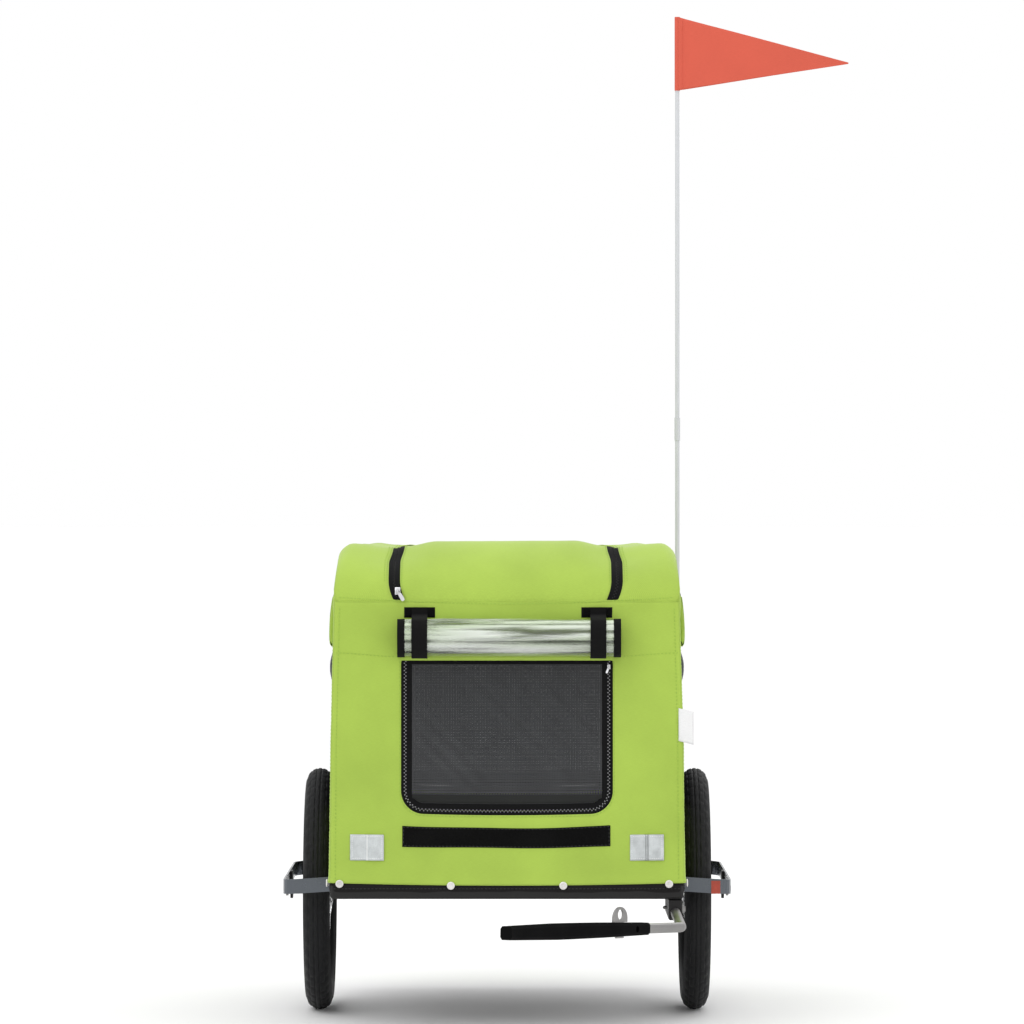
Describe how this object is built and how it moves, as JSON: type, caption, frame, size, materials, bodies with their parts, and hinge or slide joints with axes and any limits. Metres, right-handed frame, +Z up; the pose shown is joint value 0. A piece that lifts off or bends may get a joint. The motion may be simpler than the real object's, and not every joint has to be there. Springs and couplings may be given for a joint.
{
  "type": "bicycle trailer",
  "caption": "Enclosed two-wheel bicycle trailer: fabric cabin with mesh doors and windows, roof hatch, rolled rain cover, wheel guards, side drawbar and safety flag.",
  "frame": {"origin": "centre of the floor mat's top face, straight above the axle", "axes": "+Z up, front and drawbar towards -Y, the trailer's left side towards +X"},
  "size_m": [0.9658, 1.601, 1.687],
  "materials": {
    "black_steel": "satin black paint",
    "black_plastic": "fine moulded grain",
    "zinc": "zinc plated",
    "guard_metal": "glossy dark grey",
    "green_fabric": "plain-weave coated polyester",
    "mesh_fabric": "black insect mesh",
    "black_webbing": "black webbing and zip tape",
    "clear_sheet": "clear flexible sheet, rolled",
    "reflective": "silver reflective tape",
    "red_reflective": "red reflective tape",
    "tyre": "black tyre",
    "rim_steel": "bright plated steel",
    "floor_board": "grey board",
    "floor_mat": "dark padded mat",
    "white_glassfibre": "white glass-fibre rod",
    "flag_fabric": "orange-red flag cloth"
  },
  "bodies": {
    "chassis": {"drawbar_tube": "zinc", "hitch_eye_plate": "zinc", "hoop_socket_front_left": "black_plastic", "hoop_socket_front_right": "black_plastic", "hoop_socket_rear_left": "black_plastic", "hoop_socket_rear_right": "black_plastic", "drawbar_arm": "black_plastic", "flag_socket": "black_plastic", "axle_bracket_left": "black_steel", "axle_bracket_right": "black_steel", "base_crossbar_front": "black_steel", "base_crossbar_rear": "black_steel", "base_rail_left": "black_steel", "base_rail_right": "black_steel", "axle_beam": "black_steel", "front_hoop": "black_steel", "rear_hoop": "black_steel", "roof_bar_left": "black_steel", "roof_bar_right": "black_steel", "drawbar_receiver": "black_steel", "wheel_guard_left": "guard_metal", "wheel_guard_right": "guard_metal", "guard_reflector": "red_reflective", "floor_board": "floor_board", "floor_mat": "floor_mat", "cover_front": "green_fabric", "cover_rear": "green_fabric", "cover_side_left": "green_fabric", "cover_side_right": "green_fabric", "cover_roof": "green_fabric", "side_flap_left": "green_fabric", "side_flap_right": "green_fabric", "side_window_left": "mesh_fabric", "side_window_right": "mesh_fabric", "front_zip": "black_webbing", "hatch_zip": "black_webbing", "hook_loop_strip": "black_webbing", "roll_strap_left": "black_webbing", "roll_strap_right": "black_webbing", "front_reflector_left": "reflective", "front_reflector_right": "reflective", "rain_cover": "clear_sheet"},
    "wheel_left": {"tyre_left": "tyre", "rim_left": "rim_steel", "hub_left": "rim_steel"},
    "wheel_right": {"tyre_right": "tyre", "rim_right": "rim_steel", "hub_right": "rim_steel"},
    "axle_pin_left": {"axle_pin_left": "zinc"},
    "axle_pin_right": {"axle_pin_right": "zinc"},
    "axle_button_left": {"axle_button_left": "black_plastic"},
    "axle_button_right": {"axle_button_right": "black_plastic"},
    "front_door": {"front_door": "mesh_fabric"},
    "rear_door": {"rear_door": "mesh_fabric"},
    "roof_hatch": {"roof_hatch": "green_fabric"},
    "front_zip_slider": {"front_zip_slider": "zinc"},
    "hatch_zip_slider": {"hatch_zip_slider": "zinc"},
    "drawbar_lock_pin": {"drawbar_lock_pin": "zinc"},
    "flag_pole": {"flag_pole": "white_glassfibre", "flag": "flag_fabric"}
  },
  "joints": [
    {"name": "wheel_left_spin", "type": "hinge", "parent": "chassis", "child": "wheel_left", "pos_m": [0.311, 0, -0.05], "axis": [1, 0, 0], "continuous": true},
    {"name": "wheel_right_spin", "type": "hinge", "parent": "chassis", "child": "wheel_right", "pos_m": [-0.311, 0, -0.05], "axis": [1, 0, 0], "continuous": true},
    {"name": "axle_pin_left_pull", "type": "slide", "parent": "chassis", "child": "axle_pin_left", "axis": [1, 0, 0], "range_m": [0, 0.14]},
    {"name": "axle_pin_right_pull", "type": "slide", "parent": "chassis", "child": "axle_pin_right", "axis": [-1, 0, 0], "range_m": [0, 0.14]},
    {"name": "axle_button_left_press", "type": "slide", "parent": "axle_pin_left", "child": "axle_button_left", "axis": [-1, 0, 0], "range_m": [0, 0.004], "stiffness_N_per_m": 400},
    {"name": "axle_button_right_press", "type": "slide", "parent": "axle_pin_right", "child": "axle_button_right", "axis": [1, 0, 0], "range_m": [0, 0.004], "stiffness_N_per_m": 400},
    {"name": "front_door_open", "type": "hinge", "parent": "chassis", "child": "front_door", "pos_m": [0, -0.42, 0.3405], "axis": [-1, 0, 0], "range_deg": [0, 80]},
    {"name": "rear_door_open", "type": "hinge", "parent": "chassis", "child": "rear_door", "pos_m": [0, 0.42, 0.37], "axis": [1, 0, 0], "range_deg": [0, 80]},
    {"name": "roof_hatch_open", "type": "hinge", "parent": "chassis", "child": "roof_hatch", "pos_m": [0, -0.4185, 0.44213], "axis": [1, 0, 0], "range_deg": [0, 100]},
    {"name": "front_zip_slide", "type": "slide", "parent": "chassis", "child": "front_zip_slider", "axis": [0, 0, -1], "range_m": [0, 0.185]},
    {"name": "hatch_zip_slide", "type": "slide", "parent": "chassis", "child": "hatch_zip_slider", "axis": [0, 0.4359, 0.9], "range_m": [0, 0.02]},
    {"name": "drawbar_lock_pin_pull", "type": "slide", "parent": "chassis", "child": "drawbar_lock_pin", "axis": [1, 0, 0], "range_m": [0, 0.032]},
    {"name": "flag_pole_lift", "type": "slide", "parent": "chassis", "child": "flag_pole", "axis": [0, 0, 1], "range_m": [0, 0.055]}
  ]
}
